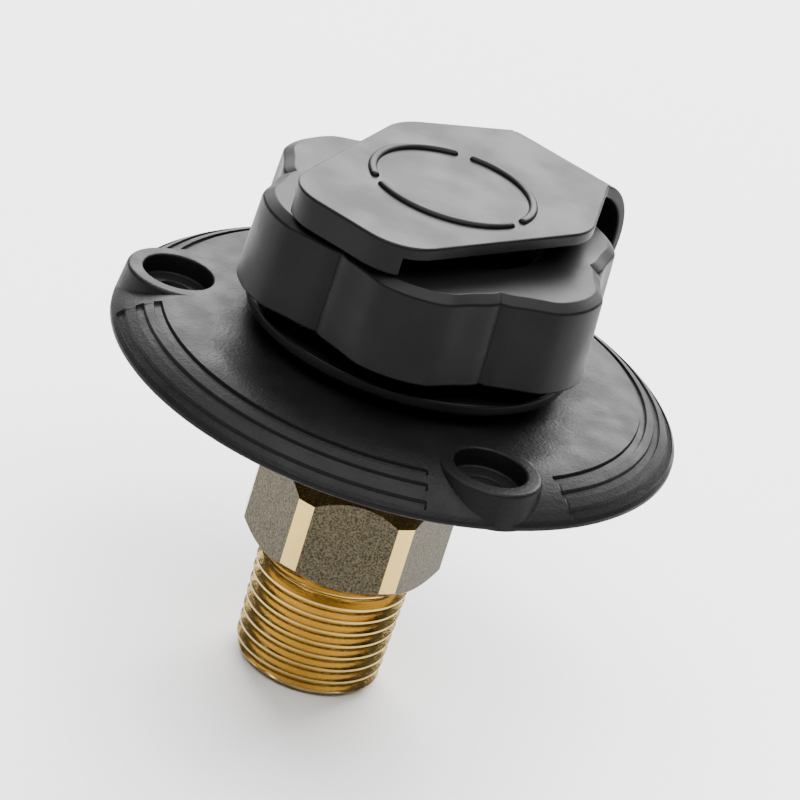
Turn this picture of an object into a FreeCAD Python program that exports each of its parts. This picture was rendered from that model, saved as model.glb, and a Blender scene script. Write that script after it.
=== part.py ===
import FreeCAD, Part
import math
import os
import Sketcher

# City water inlet of a caravan, in millimetres.
# +Z runs along the waterway towards the lid, and the origin is the centre of the flange's back plane.
# The lid's lip points to -Y and its strap to +Y.

doc = FreeCAD.newDocument("water_inlet")

# Driving dimensions: alias, value or formula over the aliases above it, what it is
SIZES = [
    ("rim_radius", 40.0, "flange outer radius"),
    ("rim_edge", 0.85, "height of the thin outer edge"),
    ("deck_radius", 29.5, "radius where the flat deck turns into the domed border"),
    ("deck_height", 5.1, "height of the flat deck above the wall"),
    ("skin", 2.2, "flange wall thickness"),
    ("step_radius", 19.5, "raised step that carries the tether ring"),
    ("step_height", 7.1, "top of the raised step"),
    ("hub_radius", 14.0, "round hub that the tether ring turns on"),
    ("hub_height", 11.55, "top of the hub"),
    ("bead", 0.6, "snap bead that keeps the tether ring down"),
    ("bead_height", 1.0, "height of the snap bead along the hub"),
    ("rear_hub_radius", 15.0, "hub behind the flange"),
    ("rear_hub_depth", 6.0, "reach of the hub behind the wall plane"),
    ("ledge_height", 9.1, "underside of the ledge that the tailpiece clamps"),
    ("boss_inset", 7.75, "distance of the screw bosses' middle from the rim"),
    ("boss_radius", 7.1, "boss radius at its top"),
    ("boss_draft", 9.0, "taper of the boss wall in degrees"),
    ("boss_count", 3, "screw bosses"),
    ("screw_bore", 2.4, "radius of the screw's clearance hole"),
    ("head_bore", 4.95, "radius of the recess for the screw's head"),
    ("head_floor", 2.3, "height of the recess floor above the wall"),
    ("groove_first", 0.105, "middle of the outermost groove, as a share of the border's width"),
    ("groove_pitch", 0.214, "spacing of the grooves, as a share of the border's width"),
    ("groove_width", 0.11, "groove width, as a share of the border's width"),
    ("groove_depth", 0.45, "groove depth"),
    ("groove_gap", 15.5, "angle between a boss and the grooves' ends"),
    ("rib", 1.6, "thickness of the stiffening ribs behind the flange"),
    ("rib_inset", 3.6, "distance of the ribs' outer ends from the rim"),
    ("rib_setback", 0.8, "ribs stop this far above the wall plane"),
    ("neck_radius", 10.0, "brass neck inside the flange hub"),
    ("collar_radius", 12.5, "turned collar above the hexagon"),
    ("collar_foot", -13.7, "lower end of the collar"),
    ("hex_corner", 14.2, "turned corner radius of the hexagon"),
    ("hex_apothem", 12.9, "half of the width across flats"),
    ("hex_turn", 5.7, "angle of a hexagon corner from the lip's direction"),
    ("hex_top", -16.0, "upper end of the hexagon's corner strips"),
    ("hex_foot", -26.3, "lower end of the hexagon's corner strips"),
    ("hex_under_radius", 12.3, "radius of the flat face under the hexagon"),
    ("hex_under", -28.0, "level of the face under the hexagon"),
    ("spigot_radius", 11.0, "pipe thread crest radius below the hexagon"),
    ("spigot_slope", 0.03125, "radius lost per length of taper thread"),
    ("spigot_foot", -46.0, "lower end of the brass body"),
    ("spigot_chamfer", 0.9, "chamfer at the spigot's end"),
    ("thread_pitch", 2.03, "pitch of the pipe thread"),
    ("thread_depth", 1.1, "depth of the pipe thread"),
    ("thread_crest", 0.16, "share of the pitch that a crest's flat takes"),
    ("thread_root", 0.1, "share of the pitch that a root's flat takes"),
    ("thread_over", 0.2, "how far the thread's cut stands out beyond the crests"),
    ("thread_start", 1.2, "distance below the spigot's end at which the thread's cut starts"),
    ("relief_radius", 10.2, "thread run-out groove radius"),
    ("relief_height", 1.0, "thread run-out groove height"),
    ("chamber_floor", -16.0, "floor of the check valve's chamber"),
    ("gasket_height", 2.0, "rubber gasket under the flange hub"),
    ("gasket_width", 3.0, "how far that gasket stands out beyond the brass neck"),
    ("gasket_radius", "=neck_radius + gasket_width", "outer radius of that gasket"),
    ("seal_height", 1.0, "flat seal on top of the brass neck"),
    ("neck_wall", 1.5, "wall of the brass neck round the tailpiece's shank"),
    ("shank_radius", "=neck_radius - neck_wall", "tailpiece shank that screws into the brass neck"),
    ("chamber_step", 1.5, "width of the chamber's floor round the outlet"),
    ("outlet_bore", "=shank_radius - chamber_step", "waterway radius in the spigot"),
    ("shank_foot", -1.0, "lower end of the tailpiece, the valve's seat"),
    ("tail_wall", 2.2, "wall of the tailpiece's shank"),
    ("tail_bore", "=shank_radius - tail_wall", "waterway radius in the tailpiece"),
    ("drive_wall", 1.9, "wall of the tailpiece beside its drive hexagon"),
    ("drive_apothem", "=shank_radius - drive_wall", "half width of the tailpiece's internal drive hexagon"),
    ("drive_depth", 6.0, "depth of the drive hexagon"),
    ("head_lip", 1.9, "how far the tailpiece's head stands out beyond the brass neck"),
    ("head_radius", "=neck_radius + head_lip", "tailpiece head that holds the swivel nut"),
    ("head_thick", 1.5, "thickness of that head"),
    ("knob_corner", 25.6, "radius of the nut's lobe corners at its foot"),
    ("knob_lobe", 26.2, "radius at the middle of a lobe"),
    ("knob_scallop", 23.3, "radius at the middle of a scallop"),
    ("lobe_half", 12.2, "half of the angle that a lobe takes"),
    ("lobe_count", 6, "lobes around the nut"),
    ("knob_foot", 11.85, "lower face of the nut"),
    ("knob_shoulder", 23.8, "upper end of the nut's side wall"),
    ("knob_top", 24.8, "top face of the nut"),
    ("knob_draft", 0.6, "radius lost from foot to shoulder"),
    ("knob_bevel", 1.5, "radial width of the bevel round the top"),
    ("web_thick", 2.0, "web that turns on the tailpiece"),
    ("thread_bore", 12.3, "crest radius of the hose thread"),
    ("relief_top", 18.3, "level where the hose thread starts above the relief"),
    ("lead_in", 14.2, "radius of the thread's lead-in at the top"),
    ("core_inner", 15.8, "inner radius of the hollow under the nut"),
    ("core_outer", 21.0, "outer radius of the hollow under the nut"),
    ("core_roof", 20.6, "roof of the hollow under the nut"),
    ("knob_rib", 1.6, "thickness of the ribs in that hollow"),
    ("washer_over", 0.6, "how far the hose washer stands out beyond the tailpiece's head"),
    ("washer_radius", "=head_radius + washer_over", "hose washer outer radius, held under the thread"),
    ("washer_room", 0.3, "radial room round the hose washer"),
    ("thread_relief", "=washer_radius + washer_room", "radius of the relief below the hose thread"),
    ("washer_bore", 7.9, "hose washer bore"),
    ("washer_thick", 2.6, "hose washer thickness"),
    ("screen_wall", 0.4, "strainer screen thickness"),
    ("screen_rise", 2.1, "height of the screen's dome"),
    ("screen_rim", 1.0, "flat rim width of the screen"),
    ("screen_hole", 0.55, "radius of the screen's holes"),
    ("screen_ring", 2.1, "radial spacing of the screen's rings of holes"),
    ("ring_radius", 22.9, "tether ring outer radius"),
    ("ring_fit", 0.3, "clearance between tether ring and hub"),
    ("seat_fit", 0.1, "clearance between parts that lie on one another"),
    ("bore_fit", 0.05, "radial clearance of parts that screw or press together"),
    ("running_fit", 0.1, "radial clearance of the nut on the tailpiece"),
    ("axial_play", 0.15, "play of the nut's web under the tailpiece head"),
    ("strap_thick", 1.7, "thickness of ring, strap and lid hinge"),
    ("strap_width", 17.8, "width of the strap"),
    ("strap_bow", 7.9, "how far the strap bows out behind the hinge line"),
    ("bow_split", 0.43, "share of the strap's height that its tighter upper curve takes"),
    ("hinge_back", 24.9, "distance of the hinge line behind the axis"),
    ("hinge_gap", 0.3, "gap between the lid's hinge edge and the strap"),
    ("lid_top", 29.5, "top face of the lid"),
    ("lid_thick", 1.8, "thickness of the lid"),
    ("lip_front", 24.1, "distance of the lip's face in front of the axis"),
    ("lip_half", 10.3, "half width of the lip"),
    ("lip_thick", 1.9, "thickness of the lip"),
    ("lip_gap", 0.25, "gap between the lip and the nut's top"),
    ("lid_side", 17.3, "half width of the lid at its side corners"),
    ("lid_side_back", 9.5, "distance of the side corners behind the axis"),
    ("lid_corner", 9.0, "rounding of the lid's side corners"),
    ("lid_front_corner", 7.0, "rounding of the lid's front corners"),
    ("lid_edge", 0.35, "rounding of the lid's top edge"),
    ("ridge_circle", 11.2, "radius of the broken ring on the lid"),
    ("ridge_half", 0.65, "half width of the ring's ridge"),
    ("ridge_rise", 0.55, "height of the ring's ridge"),
    ("ridge_gap", 8.0, "angle of each gap in the ring"),
    ("ridge_count", 3, "arcs in the ring"),
    ("plug_fit", 0.5, "radial clearance of the lid's plug in the nut"),
    ("plug_wall", 1.5, "wall of the plug"),
    ("plug_depth", 1.7, "how far the plug reaches into the nut"),
    ("plug_nose", 0.3, "radial width of the bevel at the plug's foot"),
    ("cage_height", 4.0, "height of the valve's guide cage"),
    ("cage_wall", 1.4, "outer wall of the cage"),
    ("cage_hub", 3.0, "radius of the cage's guide hub"),
    ("cage_spokes", 3, "spokes of the cage"),
    ("spoke", 1.5, "thickness of a spoke"),
    ("stem_radius", 1.5, "poppet stem radius"),
    ("stem_fit", 0.1, "radial clearance of the stem in its guide"),
    ("stem_reach", 11.5, "length of the stem below the poppet's disc"),
    ("disc_room", 1.6, "radial room round the poppet's disc"),
    ("disc_radius", "=shank_radius - disc_room", "poppet disc radius"),
    ("disc_thick", 1.5, "poppet disc thickness"),
    ("seal_room", 1.2, "radial room round the poppet's seal"),
    ("seal_radius", "=shank_radius - seal_room", "poppet seal radius"),
    ("seal_thick", 1.5, "poppet seal thickness"),
    ("nose_radius", 2.2, "poppet nose that holds the seal"),
    ("nose_rise", 1.6, "height of the nose's button above the seal"),
    ("button_radius", 3.2, "radius of that button"),
    ("coil_radius", 3.9, "mean radius of the valve spring"),
    ("coil_wire", 0.35, "wire radius of the valve spring"),
    ("coil_turns", 4.5, "turns of the valve spring"),
]

sheet = doc.addObject("Spreadsheet::Sheet", "Dim")
for row, (alias, value, meaning) in enumerate(SIZES, start=1):
    sheet.set("A%d" % row, meaning)
    sheet.set("B%d" % row, str(value))
    sheet.setAlias("B%d" % row, alias)
doc.recompute()


def number(expression):
    """Value of an expression over the sheet's cells."""
    result = sheet.evalExpression(str(expression))
    return float(getattr(result, "Value", result))


def new_body(name):
    body = doc.addObject("PartDesign::Body", name)
    body.Label = name
    return body


def origin_feature(body, role):
    return [item for item in body.Origin.OriginFeatures if item.Role == role][0]


def new_sketch(body, name, plane, level=None):
    """Sketch on one of the body's own origin planes, lifted along its normal."""
    sketch = body.newObject("Sketcher::SketchObject", name)
    sketch.AttachmentSupport = [(origin_feature(body, plane), "")]
    sketch.MapMode = "FlatFace"
    if level is not None:
        sketch.setExpression("AttachmentOffset.Base.z", level)
    return sketch


def pin_point(sketch, shape_index, end, x_rule, y_rule):
    """Tie one end of a sketch element to expressions for its two coordinates."""
    for kind, axis, rule in (("DistanceX", -2, x_rule), ("DistanceY", -1, y_rule)):
        if str(rule) == "0":
            sketch.addConstraint(Sketcher.Constraint("PointOnObject", shape_index, end, axis))
            continue
        place = number(rule)
        tie = sketch.addConstraint(Sketcher.Constraint(kind, -1, 1, shape_index, end, place))
        sketch.setExpression("Constraints[%d]" % tie, str(rule))


def draw_outline(sketch, corners):
    """Closed outline. A corner is (x, y) or (x, y, radius of the arc to the next corner).

    A positive radius bulges to the right of the way to the next corner, a negative one to the left.
    """
    points = [FreeCAD.Vector(number(c[0]), number(c[1]), 0) for c in corners]
    ends = []
    for index, corner in enumerate(corners):
        here = points[index]
        there = points[(index + 1) % len(points)]
        if len(corner) == 2:
            element = sketch.addGeometry(Part.LineSegment(here, there), False)
            ends.append((element, 1, 2))
            continue
        radius = number(corner[2])
        middle = (here + there) * 0.5
        half = there.sub(here) * 0.5
        left = FreeCAD.Vector(-half.y, half.x, 0).normalize()
        offset = math.sqrt(max(radius ** 2 - half.Length ** 2, 0.0))
        centre = middle + left * math.copysign(offset, radius)
        start, stop = (here, there) if radius > 0 else (there, here)
        first = math.atan2(start.y - centre.y, start.x - centre.x)
        last = math.atan2(stop.y - centre.y, stop.x - centre.x)
        circle = Part.Circle(centre, FreeCAD.Vector(0, 0, 1), abs(radius))
        element = sketch.addGeometry(Part.ArcOfCircle(circle, first, last), False)
        ends.append((element, 1, 2) if radius > 0 else (element, 2, 1))
        tie = sketch.addConstraint(Sketcher.Constraint("Radius", element, abs(radius)))
        sketch.setExpression("Constraints[%d]" % tie, "abs(%s)" % corner[2])
    for index, corner in enumerate(corners):
        element, start, _ = ends[index]
        previous, _, stop = ends[index - 1]
        sketch.addConstraint(Sketcher.Constraint("Coincident", previous, stop, element, start))
        pin_point(sketch, element, start, corner[0], corner[1])


def draw_circle(sketch, radius_rule, x_rule="0", y_rule="0"):
    centre = FreeCAD.Vector(number(x_rule), number(y_rule), 0)
    circle = Part.Circle(centre, FreeCAD.Vector(0, 0, 1), number(radius_rule))
    element = sketch.addGeometry(circle, False)
    tie = sketch.addConstraint(Sketcher.Constraint("Radius", element, number(radius_rule)))
    sketch.setExpression("Constraints[%d]" % tie, radius_rule)
    pin_point(sketch, element, 3, x_rule, y_rule)


def draw_hexagon(sketch, apothem_rule, turn_rule):
    corner = "(%s / cos(30))" % apothem_rule
    rules = []
    for step in range(6):
        angle = "(%s + %d)" % (turn_rule, 60 * step)
        rules.append(("%s * cos(%s)" % (corner, angle), "%s * sin(%s)" % (corner, angle)))
    draw_outline(sketch, rules)


def revolve(body, name, corners, plane="XZ_Plane", cut=False, angle=None):
    """Turned feature about the waterway axis from a half profile."""
    sketch = new_sketch(body, name + "_profile", plane)
    draw_outline(sketch, corners)
    doc.recompute()
    kind = "PartDesign::Groove" if cut else "PartDesign::Revolution"
    feature = body.newObject(kind, name)
    feature.Profile = sketch
    feature.ReferenceAxis = (sketch, ["V_Axis"])
    feature.Angle = 360
    if angle is not None:
        feature.Midplane = True
        feature.setExpression("Angle", angle)
    doc.recompute()
    return feature


def extrude(body, name, sketch, length, cut=False, downward=False, midplane=False, taper=None):
    """Pad, or pocket, of a sketch."""
    doc.recompute()
    feature = body.newObject("PartDesign::Pocket" if cut else "PartDesign::Pad", name)
    feature.Profile = sketch
    feature.setExpression("Length", length)
    feature.Reversed = downward
    feature.Midplane = midplane
    if taper is not None:
        feature.setExpression("TaperAngle", taper)
    doc.recompute()
    return feature


def repeat(body, name, features, count):
    """Polar pattern about the waterway axis."""
    pattern = body.newObject("PartDesign::PolarPattern", name)
    pattern.Originals = features
    pattern.Axis = (origin_feature(body, "Z_Axis"), [""])
    pattern.Angle = 360
    pattern.setExpression("Occurrences", count)
    body.Tip = pattern
    doc.recompute()
    return pattern


def round_edges(body, name, wanted, radius):
    """Fillet on the tip's edges that the test accepts."""
    base = body.Tip
    edges = ["Edge%d" % (i + 1) for i, edge in enumerate(base.Shape.Edges) if wanted(edge)]
    feature = body.newObject("PartDesign::Fillet", name)
    feature.Base = (base, edges)
    feature.setExpression("Radius", radius)
    doc.recompute()
    return feature


# Two places that are closer than this are the same one when edges are picked
TOUCHING = 0.01


def level_edge(edge, level):
    """True for an edge that lies wholly at one height."""
    box = edge.BoundBox
    return abs(box.ZMin - level) < TOUCHING and abs(box.ZMax - level) < TOUCHING


# Flange: one domed plastic moulding with a hub, three screw bosses and ribs behind.
border_rule = "(((Dim.rim_radius - Dim.deck_radius)^2 + (Dim.deck_height - Dim.rim_edge)^2)"
border_rule += " / (2 * (Dim.deck_height - Dim.rim_edge)))"
inside_rule = "(%s - Dim.skin)" % border_rule
border_centre = "(Dim.deck_height - %s)" % border_rule
inside_reach = "(Dim.deck_radius + sqrt(%s^2 - %s^2))" % (inside_rule, border_centre)
bore_rule = "(Dim.neck_radius + Dim.running_fit)"
ledge_bore = "(Dim.shank_radius + Dim.running_fit)"
boss_circle = "(Dim.rim_radius - Dim.boss_inset)"
bead_foot = "(Dim.step_height + Dim.seat_fit + Dim.strap_thick + Dim.ring_fit)"

flange = new_body("flange")
revolve(flange, "flange_shell", [
    (bore_rule, "-Dim.rear_hub_depth"),
    ("Dim.rear_hub_radius", "-Dim.rear_hub_depth"),
    ("Dim.rear_hub_radius", "Dim.deck_height - Dim.skin"),
    ("Dim.deck_radius", "Dim.deck_height - Dim.skin", "-" + inside_rule),
    (inside_reach, "0"),
    ("Dim.rim_radius", "0"),
    ("Dim.rim_radius", "Dim.rim_edge", border_rule),
    ("Dim.deck_radius", "Dim.deck_height"),
    ("Dim.step_radius", "Dim.deck_height"),
    ("Dim.step_radius", "Dim.step_height"),
    ("Dim.hub_radius", "Dim.step_height"),
    ("Dim.hub_radius", bead_foot),
    ("Dim.hub_radius + Dim.bead", bead_foot + " + Dim.bead_height / 2"),
    ("Dim.hub_radius", bead_foot + " + Dim.bead_height"),
    ("Dim.hub_radius", "Dim.hub_height"),
    (ledge_bore, "Dim.hub_height"),
    (ledge_bore, "Dim.ledge_height"),
    (bore_rule, "Dim.ledge_height"),
])

# Each boss stands on the wall plane and its top runs flush into the deck.
foot_rule = "(Dim.boss_radius + Dim.deck_height * tan(Dim.boss_draft))"
boss_foot = new_sketch(flange, "boss_foot", "XY_Plane")
draw_circle(boss_foot, foot_rule, "0", boss_circle)
boss_head = new_sketch(flange, "boss_head", "XY_Plane", "Dim.deck_height")
draw_circle(boss_head, "Dim.boss_radius", "0", boss_circle)
doc.recompute()
boss = flange.newObject("PartDesign::AdditiveLoft", "boss")
boss.Profile = boss_foot
boss.Sections = [boss_head]
doc.recompute()
repeat(flange, "bosses", [boss], "Dim.boss_count")

rib_plan = new_sketch(flange, "rib_plan", "XY_Plane", "Dim.rib_setback")
draw_outline(rib_plan, [
    ("Dim.rear_hub_radius - Dim.skin / 2", "-Dim.rib / 2"),
    ("Dim.rim_radius - Dim.rib_inset", "-Dim.rib / 2"),
    ("Dim.rim_radius - Dim.rib_inset", "Dim.rib / 2"),
    ("Dim.rear_hub_radius - Dim.skin / 2", "Dim.rib / 2"),
])
rib = extrude(flange, "rib_wall", rib_plan, "Dim.deck_height - Dim.skin / 2 - Dim.rib_setback")
repeat(flange, "ribs", [rib], "2 * Dim.boss_count")

# The recess for a screw's head and its clearance hole, at every boss
head_plan = new_sketch(flange, "head_plan", "XY_Plane", "Dim.deck_height")
draw_circle(head_plan, "Dim.head_bore", "0", boss_circle)
recess = extrude(flange, "head_recess", head_plan, "Dim.deck_height - Dim.head_floor", cut=True)
screw_plan = new_sketch(flange, "screw_plan", "XY_Plane", "Dim.deck_height")
draw_circle(screw_plan, "Dim.screw_bore", "0", boss_circle)
hole = extrude(flange, "screw_hole", screw_plan, "2 * Dim.deck_height", cut=True)
repeat(flange, "screw_holes", [recess, hole], "Dim.boss_count")

# Three shallow grooves follow the border between neighbouring bosses.
border_width = "(Dim.rim_radius - Dim.deck_radius)"
grooves = []
for order in range(3):
    share = "(Dim.groove_first + %d * Dim.groove_pitch)" % order
    inner = "(Dim.rim_radius - (%s + Dim.groove_width / 2) * %s)" % (share, border_width)
    outer = "(Dim.rim_radius - (%s - Dim.groove_width / 2) * %s)" % (share, border_width)
    surface = "(%s + sqrt(%s^2 - (%%s - Dim.deck_radius)^2))" % (border_centre, border_rule)
    floor_in = surface % inner + " - Dim.groove_depth"
    floor_out = surface % outer + " - Dim.groove_depth"
    grooves.append(revolve(flange, "groove_%d" % order, [
        ("-" + inner, floor_in),
        ("-" + inner, "Dim.deck_height + Dim.skin"),
        ("-" + outer, "Dim.deck_height + Dim.skin"),
        ("-" + outer, floor_out),
    ], plane="YZ_Plane", cut=True, angle="360 / Dim.boss_count - 2 * Dim.groove_gap"))
repeat(flange, "groove_sets", grooves, "Dim.boss_count")

# Brass body: forged hexagon, turned neck and collar, tapered spigot for the pipe thread.
gasket_foot = "(-Dim.rear_hub_depth - Dim.gasket_height)"
neck_top = "(Dim.ledge_height - Dim.seal_height)"
socket_rule = "(Dim.shank_radius + Dim.bore_fit)"
thread_top = "(Dim.hex_under - Dim.relief_height)"
end_radius = "(Dim.spigot_radius - (%s - Dim.spigot_foot) * Dim.spigot_slope)" % thread_top

brass = new_body("brass_body")
revolve(brass, "turned_form", [
    (socket_rule, neck_top),
    (socket_rule, "Dim.chamber_floor"),
    ("Dim.outlet_bore", "Dim.chamber_floor"),
    ("Dim.outlet_bore", "Dim.spigot_foot"),
    (end_radius + " - Dim.spigot_chamfer", "Dim.spigot_foot"),
    (end_radius, "Dim.spigot_foot + Dim.spigot_chamfer"),
    ("Dim.spigot_radius", thread_top),
    ("Dim.relief_radius", thread_top),
    ("Dim.relief_radius", "Dim.hex_under"),
    ("Dim.hex_under_radius", "Dim.hex_under"),
    ("Dim.hex_corner", "Dim.hex_foot"),
    ("Dim.hex_corner", "Dim.hex_top"),
    ("Dim.collar_radius", "Dim.collar_foot"),
    ("Dim.collar_radius", gasket_foot),
    ("Dim.neck_radius", gasket_foot),
    ("Dim.neck_radius", neck_top),
])
flats_plan = new_sketch(brass, "flats_plan", "XY_Plane", "Dim.collar_foot")
draw_circle(flats_plan, "2 * Dim.hex_corner")
draw_hexagon(flats_plan, "Dim.hex_apothem", "(270 + Dim.hex_turn)")
extrude(brass, "hexagon_flats", flats_plan, "Dim.collar_foot - Dim.hex_under", cut=True)

# The pipe thread is cut upwards from below the spigot's end, along its taper.
cut_level = "(Dim.spigot_foot - Dim.thread_start)"
cut_crest = "(Dim.spigot_radius - (%s - %s) * Dim.spigot_slope)" % (thread_top, cut_level)
root_half = "(Dim.thread_pitch * Dim.thread_root / 2)"
crest_half = "(Dim.thread_pitch * (1 - Dim.thread_crest) / 2)"
flank_spread = "(%s - %s) / Dim.thread_depth" % (crest_half, root_half)
mouth_half = "(%s + %s * Dim.thread_over)" % (crest_half, flank_spread)
groove_plan = new_sketch(brass, "thread_groove", "XZ_Plane")
draw_outline(groove_plan, [
    (cut_crest + " - Dim.thread_depth", "%s - %s" % (cut_level, root_half)),
    (cut_crest + " + Dim.thread_over", "%s - %s" % (cut_level, mouth_half)),
    (cut_crest + " + Dim.thread_over", "%s + %s" % (cut_level, mouth_half)),
    (cut_crest + " - Dim.thread_depth", "%s + %s" % (cut_level, root_half)),
])
doc.recompute()
pipe_thread = brass.newObject("PartDesign::SubtractiveHelix", "pipe_thread")
pipe_thread.Profile = groove_plan
pipe_thread.ReferenceAxis = (groove_plan, ["V_Axis"])
pipe_thread.Mode = 0
pipe_thread.LeftHanded = False
pipe_thread.setExpression("Pitch", "Dim.thread_pitch")
pipe_thread.setExpression("Height", "%s - %s - Dim.thread_pitch / 2" % (thread_top, cut_level))
pipe_thread.setExpression("Angle", "atan(Dim.spigot_slope)")
doc.recompute()

# Swivel tailpiece: screws into the brass neck, clamps the flange and holds the nut by its head.
web_top = "(Dim.knob_foot + Dim.web_thick)"
head_foot = "(%s + Dim.axial_play)" % web_top
head_top = "(%s + Dim.head_thick)" % head_foot
tailpiece = new_body("swivel_tailpiece")
revolve(tailpiece, "tail_turned", [
    ("Dim.tail_bore", "Dim.shank_foot"),
    ("Dim.shank_radius", "Dim.shank_foot"),
    ("Dim.shank_radius", "Dim.hub_height"),
    ("Dim.neck_radius", "Dim.hub_height"),
    ("Dim.neck_radius", head_foot),
    ("Dim.head_radius", head_foot),
    ("Dim.head_radius", head_top),
    ("Dim.tail_bore", head_top),
])
drive_plan = new_sketch(tailpiece, "drive_plan", "XY_Plane", head_top)
draw_hexagon(drive_plan, "Dim.drive_apothem", "0")
extrude(tailpiece, "drive_hexagon", drive_plan, "Dim.drive_depth", cut=True)

# Rubber gasket between flange hub and brass collar, and the flat seal on the brass neck
gasket = new_body("body_gasket")
revolve(gasket, "gasket_ring", [
    (bore_rule, gasket_foot),
    ("Dim.gasket_radius", gasket_foot),
    ("Dim.gasket_radius", "-Dim.rear_hub_depth"),
    (bore_rule, "-Dim.rear_hub_depth"),
])
neck_seal = new_body("neck_seal")
revolve(neck_seal, "neck_seal_ring", [
    (ledge_bore, neck_top),
    ("Dim.neck_radius", neck_top),
    ("Dim.neck_radius", "Dim.ledge_height"),
    (ledge_bore, "Dim.ledge_height"),
])


# Swivel nut: six rounded lobes to grip, hollow underneath, bored for the hose thread.
def lobed_outline(sketch, inset):
    """Lobes and scallops in turn, as arcs between the lobes' corners."""
    corner = "(Dim.knob_corner - %s)" % inset
    lobe_rise = "((Dim.knob_lobe - %s) - %s * cos(Dim.lobe_half))" % (inset, corner)
    lobe_half = "(%s * sin(Dim.lobe_half))" % corner
    lobe_arc = "((%s^2 + %s^2) / (2 * %s))" % (lobe_half, lobe_rise, lobe_rise)
    rest = "(180 / Dim.lobe_count - Dim.lobe_half)"
    dip = "(%s * cos(%s) - (Dim.knob_scallop - %s))" % (corner, rest, inset)
    dip_half = "(%s * sin(%s))" % (corner, rest)
    dip_arc = "((%s^2 + %s^2) / (2 * %s))" % (dip_half, dip, dip)
    rules = []
    for lobe in range(int(number("Dim.lobe_count"))):
        for side, arc in (("-", lobe_arc), ("+", "-" + dip_arc)):
            angle = "(%d * 360 / Dim.lobe_count %s Dim.lobe_half)" % (lobe, side)
            rules.append(("%s * cos(%s)" % (corner, angle), "%s * sin(%s)" % (corner, angle), arc))
    draw_outline(sketch, rules)


nut = new_body("hose_nut")
levels = [("foot", "Dim.knob_foot", "0"),
          ("shoulder", "Dim.knob_shoulder", "Dim.knob_draft"),
          ("top", "Dim.knob_top", "(Dim.knob_draft + Dim.knob_bevel)")]
sections = []
for place, level, inset in levels:
    section = new_sketch(nut, "lobes_" + place, "XY_Plane", level)
    lobed_outline(section, inset)
    sections.append(section)
doc.recompute()
lobes = nut.newObject("PartDesign::AdditiveLoft", "lobed_wall")
lobes.Profile = sections[0]
lobes.Sections = sections[1:]
lobes.Ruled = True
doc.recompute()
revolve(nut, "thread_bore", [
    ("0", "Dim.knob_foot - Dim.web_thick"),
    ("Dim.neck_radius + Dim.running_fit", "Dim.knob_foot - Dim.web_thick"),
    ("Dim.neck_radius + Dim.running_fit", web_top),
    ("Dim.thread_relief", web_top),
    ("Dim.thread_relief", "Dim.relief_top"),
    ("Dim.thread_bore", "Dim.relief_top"),
    ("Dim.thread_bore", "Dim.knob_top - (Dim.lead_in - Dim.thread_bore)"),
    ("Dim.lead_in", "Dim.knob_top"),
    ("Dim.lead_in", "Dim.knob_top + Dim.web_thick"),
    ("0", "Dim.knob_top + Dim.web_thick"),
], cut=True)
pocket_angle = "360 / Dim.lobe_count - 2 * asin(Dim.knob_rib / 2 / Dim.core_outer) / (1 deg)"
hollow = revolve(nut, "foot_hollow", [
    ("-Dim.core_inner", "Dim.knob_foot - Dim.web_thick"),
    ("-Dim.core_inner", "Dim.core_roof"),
    ("-Dim.core_outer", "Dim.core_roof"),
    ("-Dim.core_outer", "Dim.knob_foot - Dim.web_thick"),
], plane="YZ_Plane", cut=True, angle=pocket_angle)
repeat(nut, "foot_hollows", [hollow], "Dim.lobe_count")

# Hose washer and the strainer screen that sits in it, both on the tailpiece's head
washer = new_body("hose_washer")
revolve(washer, "washer_ring", [
    ("Dim.washer_bore", head_top),
    ("Dim.washer_radius", head_top),
    ("Dim.washer_radius", head_top + " + Dim.washer_thick"),
    ("Dim.washer_bore", head_top + " + Dim.washer_thick"),
])
screen_radius = "(Dim.washer_bore - Dim.seat_fit)"
dome_reach = "(%s - Dim.screen_rim)" % screen_radius
dome_rule = "((%s^2 + Dim.screen_rise^2) / (2 * Dim.screen_rise))" % dome_reach
lower_reach = "(%s - Dim.screen_wall)" % dome_reach
lower_rule = "((%s^2 + (Dim.screen_rise - Dim.screen_wall)^2)" % lower_reach
lower_rule += " / (2 * (Dim.screen_rise - Dim.screen_wall)))"
screen = new_body("strainer_screen")
revolve(screen, "screen_dome", [
    (lower_reach, head_top),
    (screen_radius, head_top),
    (screen_radius, head_top + " + Dim.screen_wall"),
    (dome_reach, head_top + " + Dim.screen_wall", dome_rule),
    ("0", head_top + " + Dim.screen_wall + Dim.screen_rise"),
    ("0", head_top + " + Dim.screen_rise - Dim.screen_wall", "-" + lower_rule),
])
for order, count in ((0, 1), (1, 6), (2, 12)):
    plan = new_sketch(screen, "screen_holes_%d" % order, "XY_Plane", head_top + " + 2 * Dim.screen_rise")
    if order == 0:
        draw_circle(plan, "Dim.screen_hole")
    else:
        draw_circle(plan, "Dim.screen_hole", "%d * Dim.screen_ring" % order, "0")
    first = extrude(screen, "screen_hole_%d" % order, plan, "3 * Dim.screen_rise", cut=True)
    if count > 1:
        repeat(screen, "screen_ring_%d" % order, [first], str(count))

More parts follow.
